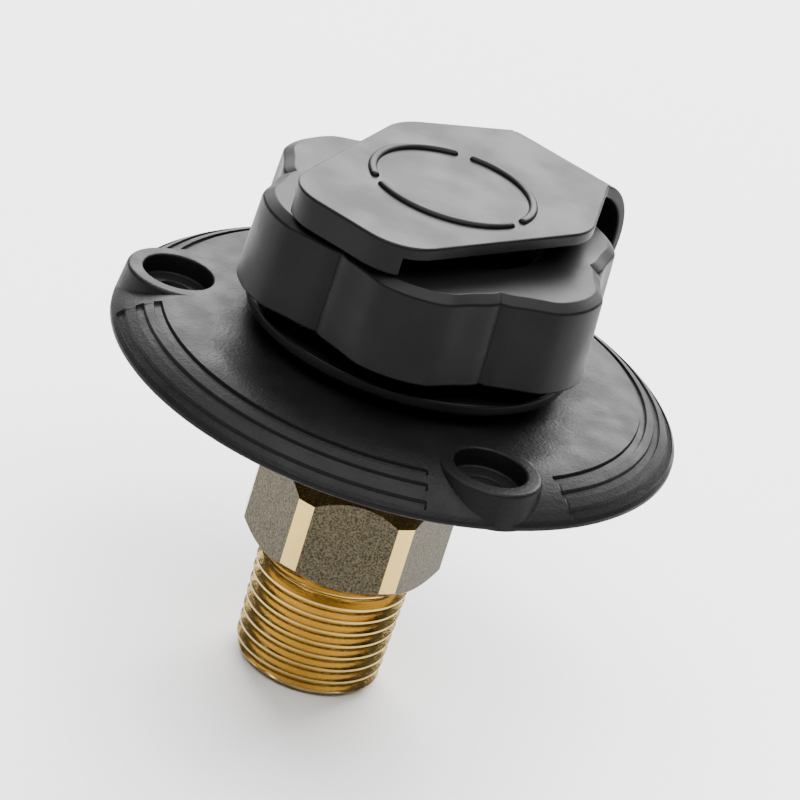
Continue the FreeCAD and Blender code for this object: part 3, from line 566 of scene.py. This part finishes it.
# Gasket and neck seal: black rubber rings. The gasket lies between hub and collar, the seal on the
# neck, and both are squeezed when the tailpiece is screwed home.
gasket_radius = 0.013
gasket_round = 0.0004
black_rubber = Finish("black_rubber", (0.012, 0.012, 0.012), 0.6)
gasket_mesh = turned_mesh("gasket_ring", [
    (hub_bore, collar_top), (gasket_radius, collar_top, gasket_round),
    (gasket_radius, rear_hub_foot, gasket_round), (hub_bore, rear_hub_foot)])
as_piece("gasket_ring", gasket_mesh, black_rubber, "flange", ["body_gasket"])
as_piece("neck_seal_ring", merged_copy("neck_seal"), black_rubber, "flange", ["neck_seal"])

# Swivel tailpiece: turned brass, driven home by the hexagon in its bore. It clamps the flange's hub and
# holds the hose nut by its head.
tail_mesh = merged_copy("swivel_tailpiece")
tail = as_piece("tailpiece", tail_mesh, turned_brass, "flange", ["swivel_tailpiece"])
break_edges(tail, 0.00015)

# Hose nut: moulded in a smoother black plastic, six lobes to grip, free to turn on the tailpiece.
# It is hollow underneath between ribs and carries the hose thread inside.
nut_corner = 0.0256
nut_lobe = 0.0262
nut_scallop = 0.0233
lobe_half = math.radians(12.2)
lobe_blend = 0.0005
nut_foot = 0.01185
nut_shoulder = 0.0238
nut_top = 0.0248
nut_draft = 0.0006
nut_bevel = 0.0015
foot_land = 0.003
top_land = 0.006
lobe_pitch = math.radians(60)
web_top = 0.01385
web_bore = 0.0101
hose_crest = 0.0123
hose_root = 0.01335
hose_relief = 0.0128
hose_thread_foot = 0.0183
hose_pitch = 0.00221
lead_in = 0.0142
hollow_inner = 0.0158
hollow_outer = 0.021
hollow_roof = 0.0206
hollow_steps = 12
hollow_below = 0.001
web_half = 0.0008


def chord_circle(half, edge, middle):
    """Radius of the arc from corner to corner through a middle point."""
    width = edge * math.sin(half)
    rise = abs(middle - edge * math.cos(half))
    return (width ** 2 + rise ** 2) / (2 * rise)


def nut_radius(angle, inset=0.0):
    """Radius of the lobed outline at an angle, a distance inside the foot's outline."""
    corner, lobe, scallop = nut_corner - inset, nut_lobe - inset, nut_scallop - inset
    off = (angle + lobe_pitch / 2) % lobe_pitch - lobe_pitch / 2
    bulge = chord_circle(lobe_half, corner, lobe)
    centre = lobe - bulge
    outer = centre * math.cos(off) + math.sqrt(bulge ** 2 - (centre * math.sin(off)) ** 2)
    rest = lobe_pitch / 2 - abs(off)
    dip = chord_circle(lobe_pitch / 2 - lobe_half, corner, scallop)
    centre = scallop + dip
    under = dip ** 2 - (centre * math.sin(rest)) ** 2
    if under <= 0:
        return outer
    inner = centre * math.cos(rest) - math.sqrt(under)
    soft = max(lobe_blend - abs(outer - inner), 0) / lobe_blend
    return min(outer, inner) - soft * soft * lobe_blend / 4


def hose_surface(share, level):
    """Radius of the hose thread inside the nut, opening into its lead-in."""
    cone = lead_in - (nut_top - level)
    return max(cone, hose_crest + (hose_root - hose_crest) * thread_form(share))


nut_form = bmesh.new()
nut_angles = circle_angles(240)
nut_side = rounded([
    (foot_land, nut_foot), (0.0, nut_foot, 0.0004), (nut_draft, nut_shoulder, 0.0006),
    (nut_draft + nut_bevel, nut_top, 0.0005), (top_land, nut_top)])
nut_rows = []
for inset, z in nut_side:
    nut_rows.append(turned_row(nut_form, nut_angles, lambda a, i=inset: nut_radius(a, i), z))
nut_rows.append(turned_row(nut_form, nut_angles, lead_in + 2 * seam_step, nut_top))
lip_row = turned_row(nut_form, nut_angles, lead_in - seam_step, nut_top - seam_step)
nut_rows.append(lip_row)
close_columns(nut_form, nut_rows)
bore_start, bore_end = thread_wall(
    nut_form, nut_angles, nut_top - seam_step, hose_thread_foot, hose_pitch, 0.0, hose_surface)
close_columns(nut_form, [lip_row, bore_start])
bore_rows = [turned_row(nut_form, nut_angles, r, z) for r, z in (
    (hose_relief, hose_thread_foot), (hose_relief, web_top), (web_bore, web_top), (web_bore, nut_foot))]
close_columns(nut_form, [bore_end] + bore_rows + [nut_rows[0]])
nut_mesh = finished_mesh(nut_form, "swivel_nut")

# Six hollows open in the nut's foot, with a web left between neighbours.
hollow_half = lobe_pitch / 2 - math.asin(web_half / hollow_outer)
hollow_form = bmesh.new()
for pocket in range(6):
    middle = math.pi / 2 + lobe_pitch * pocket
    sides = [middle + hollow_half * (2 * i / hollow_steps - 1) for i in range(hollow_steps + 1)]
    corners = [(hollow_inner, nut_foot - hollow_below), (hollow_outer, nut_foot - hollow_below),
               (hollow_outer, hollow_roof), (hollow_inner, hollow_roof)]
    lines = [turned_row(hollow_form, sides, r, z) for r, z in corners]
    for line, following in zip(lines, lines[1:] + lines[:1]):
        for i in range(hollow_steps):
            hollow_form.faces.new((line[i], line[i + 1], following[i + 1], following[i]))
    for end in (0, hollow_steps):
        hollow_form.faces.new([line[end] for line in lines])
nut_mesh = combined(nut_mesh, finished_mesh(hollow_form, "foot_hollows"), "DIFFERENCE")

satin_black = Finish("satin_black", (0.0038, 0.0038, 0.0042), 0.4)
satin_black.relief(satin_black.noise(0.0009, 3.0), 0.00002, 0.35)
satin_black.feed("Roughness", satin_black.between(satin_black.noise(0.007), 0.35, 0.65, 0.36, 0.46))
as_piece("swivel_nut", nut_mesh, satin_black, "nut", ["hose_nut"], 30)

# Hose washer of black rubber, which seals the hose on the tailpiece's head. A strainer of stainless
# mesh is pressed in its bore.
washer_bore = 0.0079
washer_radius = 0.0125
washer_foot = 0.0155
washer_top = 0.0181
washer_mesh = turned_mesh("washer_ring", [
    (washer_bore, washer_foot, 0.0003), (washer_radius, washer_foot, 0.0003),
    (washer_radius, washer_top, 0.0004), (washer_bore, washer_top, 0.0004)])
as_piece("washer_ring", washer_mesh, black_rubber, "flange", ["hose_washer"])
steel = Finish("steel_wire", (0.55, 0.55, 0.53), 0.28, 1.0)
as_piece("strainer", merged_copy("strainer_screen"), steel, "flange", ["strainer_screen"])

# Tether ring: the lid moulding's flat end. It turns on the flange's hub, between the raised step and
# the hose nut.
ring_bore = 0.0143
ring_radius = 0.0229
ring_foot = 0.0072
ring_top = 0.0089
ring_mesh = turned_mesh("tether_ring", [
    (ring_bore, ring_foot, 0.0003), (ring_radius, ring_foot, 0.0004),
    (ring_radius, ring_top, 0.0004), (ring_bore, ring_top, 0.0003)])
as_piece("tether_ring", ring_mesh, satin_black, "strap", ["lid_strap"])

# Lid and strap: a plate with rounded corners, a lip in front, a plug underneath and a band that runs
# down behind the nut into the ring.
lid_top = 0.0295
lid_under = 0.0277
lid_front = -0.0241
front_half = 0.0103
front_corner = 0.007
lid_middle = 0.0095
middle_half = 0.0173
middle_corner = 0.009
lid_rear = 0.0249
lid_end = 0.0252
rear_corner = 0.0015
lip_depth = 0.0019
lip_foot = 0.02505
edge_round = 0.0004
united = 0.0006
plug_radius = 0.0118
plug_wall = 0.0015
plug_foot = 0.0231
band_half = 0.0089
band_thick = 0.0017
band_outer = 0.0328
upper_bow = 0.00959
lower_bow = 0.01271
bow_steps = 14
lid_outline = [
    (-front_half, lid_front, front_corner), (front_half, lid_front, front_corner),
    (middle_half, lid_middle, middle_corner), (band_half, lid_rear, rear_corner), (band_half, lid_end),
    (-band_half, lid_end), (-band_half, lid_rear, rear_corner), (-middle_half, lid_middle, middle_corner)]


def inset_outline(corners, inset, steps=8):
    """Points of a convex outline with rounded corners, moved inwards by an inset."""
    moved = []
    for index, corner in enumerate(corners):
        here = Vector(corner[:2])
        before = (Vector(corners[index - 1][:2]) - here).normalized()
        after = (Vector(corners[(index + 1) % len(corners)][:2]) - here).normalized()
        ahead, behind = Vector((-after.y, after.x)), Vector((before.y, -before.x))
        spot = here + (ahead + behind) * inset / (1 + ahead.dot(behind))
        rounding = max(corner[2] - inset, 0) if len(corner) > 2 else 0
        moved.append((spot.x, spot.y, rounding))
    return rounded(moved, steps)


def plate_mesh(name, corners, side):
    """Plate whose side is a list of insets and heights, from its underside to its top."""
    form = bmesh.new()
    rows = []
    for inset, z in side:
        rows.append([form.verts.new((p.x, p.y, z)) for p in inset_outline(corners, inset)])
    close_columns(form, rows)
    form.faces.new(rows[0])
    form.faces.new(rows[-1])
    return finished_mesh(form, name)


def edge_side(foot, top, lower, upper, steps=4):
    """Side of a plate with its lower and upper edges rounded."""
    side = []
    for step in range(steps + 1):
        turn = math.radians(90 * step / steps)
        side.append((lower * (1 - math.sin(turn)), foot + lower * (1 - math.cos(turn))))
    for step in range(steps + 1):
        turn = math.radians(90 * step / steps)
        side.append((upper * (1 - math.cos(turn)), top - upper * (1 - math.sin(turn))))
    return side


plate = plate_mesh("plate", lid_outline, edge_side(lid_under, lid_top, 0.0002, edge_round))
lip_block = plate_mesh("lip", lid_outline, edge_side(lip_foot, lid_under + united, 0.0004, 0.0001))
behind_lip = box_mesh("behind_lip", (-0.03, lid_front + lip_depth, 0.021), (0.03, 0.0378, 0.031))
lip_mesh = combined(lip_block, behind_lip, "DIFFERENCE")
plug_top = lid_under + 0.0008
plug = turned_mesh("plug", [
    (plug_radius - plug_wall, plug_foot, 0.0003), (plug_radius, plug_foot, 0.0005),
    (plug_radius, plug_top), (plug_radius - plug_wall, plug_top)])


def band_path():
    """Middle line of the strap from the ring up to the plate, as (y, z, share of full thickness)."""
    half = band_thick / 2
    bow_level = lid_top - upper_bow
    in_ring, thinner = 0.019, 0.94
    points = [(in_ring, ring_foot + half, thinner), (band_outer - lower_bow, ring_foot + half, thinner)]
    for step in range(1, bow_steps + 1):
        turn = math.radians(90 * step / bow_steps)
        points.append((band_outer - lower_bow + (lower_bow - half) * math.sin(turn),
                       bow_level - (lower_bow - half) * math.cos(turn),
                       thinner + (1 - thinner) * step / bow_steps))
    for step in range(1, bow_steps + 1):
        turn = math.radians(90 * step / bow_steps)
        points.append((band_outer - upper_bow + (upper_bow - half) * math.cos(turn),
                       bow_level + (upper_bow - half) * math.sin(turn), 1))
    points.append((0.0245, lid_top - half, 1))
    return points


def band_mesh(name):
    """Flat strap swept along its middle line, with rounded edges."""
    half = band_thick / 2
    section = rounded([(-band_half, -half, edge_round), (band_half, -half, edge_round),
                       (band_half, half, edge_round), (-band_half, half, edge_round)])
    path = band_path()
    form = bmesh.new()
    rows = []
    for index, (y, z, share) in enumerate(path):
        ahead = path[min(index + 1, len(path) - 1)]
        before = path[max(index - 1, 0)]
        along = Vector((ahead[0] - before[0], ahead[1] - before[1])).normalized() * share
        rows.append([form.verts.new((p.x, y - along.y * p.y, z + along.x * p.y)) for p in section])
    close_columns(form, rows)
    form.faces.new(rows[0])
    form.faces.new(rows[-1])
    return finished_mesh(form, name)


lid_mesh = combined(plate, band_mesh("band"), "UNION")
lid_mesh = combined(lid_mesh, lip_mesh, "UNION")
lid_mesh = combined(lid_mesh, plug, "UNION")
lid = as_piece("lid_and_strap", lid_mesh, satin_black, None, ["lid"], 30)
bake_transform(lid)

# The broken ring on the lid: three low ridges with rounded ends, repeated round the waterway's axis.
ring_circle = 0.0112
ridge_half = 0.00065
ridge_sunk = 0.0001
ring_gap = math.radians(8)
ring_arcs = 3


class Growth:
    """A Geometry Nodes tree with named inputs, whose result becomes a plain mesh."""

    def __init__(self, name, inputs):
        self.tree = bpy.data.node_groups.new(name, "GeometryNodeTree")
        self.sockets = {}
        for label, (kind, value) in inputs.items():
            socket = self.tree.interface.new_socket(label, in_out="INPUT", socket_type=kind)
            self.sockets[socket.identifier] = value
        self.tree.interface.new_socket("Geometry", in_out="OUTPUT", socket_type="NodeSocketGeometry")
        self.given = self.tree.nodes.new("NodeGroupInput")
        self.result = self.tree.nodes.new("NodeGroupOutput")

    def node(self, kind, inputs, settings=None, output=0):
        """A node of one kind; each input is a number, a vector or another node's output."""
        made = self.tree.nodes.new(kind)
        for setting, value in (settings or {}).items():
            setattr(made, setting, value)
        for place, value in inputs.items():
            if isinstance(value, bpy.types.NodeSocket):
                self.tree.links.new(value, made.inputs[place])
            else:
                made.inputs[place].default_value = value
        return made.outputs[output]

    def maths(self, operation, first, second=0.0):
        return self.node("ShaderNodeMath", {0: first, 1: second}, {"operation": operation})

    def grown(self, name, geometry):
        """The tree's result as a plain mesh."""
        self.tree.links.new(geometry, self.result.inputs[0])
        carrier = bpy.data.objects.new(name, bpy.data.meshes.new(name))
        bpy.context.scene.collection.objects.link(carrier)
        modifier = carrier.modifiers.new(name, "NODES")
        modifier.node_group = self.tree
        for identifier, value in self.sockets.items():
            modifier[identifier] = value
        ready = carrier.evaluated_get(bpy.context.evaluated_depsgraph_get())
        mesh = bpy.data.meshes.new_from_object(ready)
        bpy.data.objects.remove(carrier)
        return mesh


ridge_growth = Growth("broken_ring", {
    "Circle Radius": ("NodeSocketFloat", ring_circle), "Half Width": ("NodeSocketFloat", ridge_half),
    "Level": ("NodeSocketFloat", lid_top - ridge_sunk), "Gap": ("NodeSocketFloat", ring_gap),
    "Arcs": ("NodeSocketInt", ring_arcs), "Finish": ("NodeSocketMaterial", satin_black.material)})
given = ridge_growth.given.outputs
share_turn = ridge_growth.maths("DIVIDE", math.tau, given["Arcs"])
sweep = ridge_growth.maths("SUBTRACT", share_turn, given["Gap"])
start = ridge_growth.maths("MULTIPLY", given["Gap"], 0.5)
arc = ridge_growth.node("GeometryNodeCurveArc", {
    "Resolution": 160, "Radius": given["Circle Radius"], "Start Angle": start, "Sweep Angle": sweep})
length = ridge_growth.node("GeometryNodeSplineLength", {})
along = ridge_growth.node("GeometryNodeSplineParameter", {}, output=1)
from_end = ridge_growth.maths("MINIMUM", along, ridge_growth.maths("SUBTRACT", length, along))
to_round = ridge_growth.maths("SUBTRACT", 1.0, ridge_growth.maths("DIVIDE", from_end, given["Half Width"]))
clipped = ridge_growth.maths("MAXIMUM", to_round, 0.0)
round_end = ridge_growth.maths("SQRT", ridge_growth.maths(
    "SUBTRACT", 1.0002, ridge_growth.maths("MULTIPLY", clipped, clipped)))
tapered = ridge_growth.node("GeometryNodeSetCurveRadius", {"Curve": arc, "Radius": round_end})
section = ridge_growth.node("GeometryNodeCurvePrimitiveCircle", {
    "Resolution": 20, "Radius": given["Half Width"]})
bar = ridge_growth.node("GeometryNodeCurveToMesh", {
    "Curve": tapered, "Profile Curve": section, "Fill Caps": True, "Scale": round_end})
centres = ridge_growth.node("GeometryNodePoints", {"Count": given["Arcs"]})
turn = ridge_growth.maths("MULTIPLY", ridge_growth.node("GeometryNodeInputIndex", {}), share_turn)
copies = ridge_growth.node("GeometryNodeInstanceOnPoints", {
    "Points": centres, "Instance": bar,
    "Rotation": ridge_growth.node("ShaderNodeCombineXYZ", {"Z": turn})})
lifted = ridge_growth.node("GeometryNodeTransform", {
    "Geometry": ridge_growth.node("GeometryNodeRealizeInstances", {"Geometry": copies}),
    "Translation": ridge_growth.node("ShaderNodeCombineXYZ", {"Z": given["Level"]})})
finished = ridge_growth.node("GeometryNodeSetMaterial", {"Geometry": lifted, "Material": given["Finish"]})
ridge_mesh = ridge_growth.grown("lid_ridges", finished)
as_piece("lid_ridges", ridge_mesh, satin_black, "lid", smooth=60)

# Check valve: cage and poppet of white acetal, a rubber seal, and a spring of stainless wire, which
# rides on the flange and keeps its length as the poppet slides down.
acetal = Finish("white_acetal", (0.7, 0.7, 0.67), 0.35)
cage_mesh = merged_copy("check_valve_cage")
as_piece("valve_cage", cage_mesh, acetal, "flange", ["check_valve_cage"])
poppet_mesh = merged_copy("check_valve_poppet")
as_piece("valve_poppet", poppet_mesh, acetal, "poppet", ["check_valve_poppet"])
as_piece("poppet_seal_ring", merged_copy("poppet_seal"), black_rubber, "poppet", ["poppet_seal"])
spring_mesh = merged_copy("check_valve_spring")
spring = as_piece("valve_spring", spring_mesh, steel, "flange", ["check_valve_spring"])
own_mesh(spring)

# Studio: camera, floor and lights. The camera stands where the photograph's did, the floor is plain
# and white, and the light comes from two large softboxes, one behind and one above.
azimuth = math.radians(30.787)
elevation = math.radians(25.704)
roll = math.radians(17.538)
focal_pixels = 4277.6
picture_pixels = 800
distance = 0.5854
origin_right = -0.000887
origin_up = 0.003251

back = Vector((math.sin(azimuth) * math.cos(elevation), -math.cos(azimuth) * math.cos(elevation),
               math.sin(elevation)))
level_right = Vector((math.cos(azimuth), math.sin(azimuth), 0))
level_up = back.cross(level_right)
right = level_right * math.cos(roll) + level_up * math.sin(roll)
up = level_up * math.cos(roll) - level_right * math.sin(roll)
camera = bpy.data.objects.new("camera", bpy.data.cameras.new("camera"))
bpy.context.scene.collection.objects.link(camera)
camera.data.sensor_width = 36
camera.data.lens = focal_pixels / picture_pixels * camera.data.sensor_width
camera.data.clip_start = 0.05
camera.data.clip_end = 10
spot = back * distance - right * origin_right - up * origin_up
camera.matrix_world = Matrix((
    (right.x, up.x, back.x, spot.x),
    (right.y, up.y, back.y, spot.y),
    (right.z, up.z, back.z, spot.z),
    (0, 0, 0, 1)))
bpy.context.scene.camera = camera

floor_mesh = bpy.data.meshes.new("floor")
floor_half = 3.0
floor_gap = 0.0005
floor_level = spigot_foot - floor_gap
signs = [(-1, -1), (1, -1), (1, 1), (-1, 1)]
floor_mesh.from_pydata([(x * floor_half, y * floor_half, floor_level) for x, y in signs], [], [(0, 1, 2, 3)])
floor = bpy.data.objects.new("floor", floor_mesh)
bpy.context.scene.collection.objects.link(floor)
floor_white = Finish("floor_white", (0.9, 0.9, 0.9), 0.9, reflection=0.1)
floor_mesh.materials.append(floor_white.material)


def soft_light(name, place, size, power):
    """Square softbox, turned to face the part."""
    lamp = bpy.data.lights.new(name, "AREA")
    lamp.shape = "RECTANGLE"
    lamp.size, lamp.size_y = size
    lamp.energy = power
    stand = bpy.data.objects.new(name, lamp)
    bpy.context.scene.collection.objects.link(stand)
    way = -Vector(place)
    stand.matrix_world = Matrix.Translation(place) @ way.to_track_quat("-Z", "Y").to_matrix().to_4x4()


soft_light("back_box", (-0.9, 1.5, 1.15), (2.6, 1.3), 190)
soft_light("top_box", (0.2, -0.3, 1.6), (2.4, 2.0), 110)

world = bpy.data.worlds.new("studio")
bpy.context.scene.world = world
world.use_nodes = True
world.node_tree.nodes["Background"].inputs["Color"].default_value = (1, 1, 1, 1)
world.node_tree.nodes["Background"].inputs["Strength"].default_value = 0.12
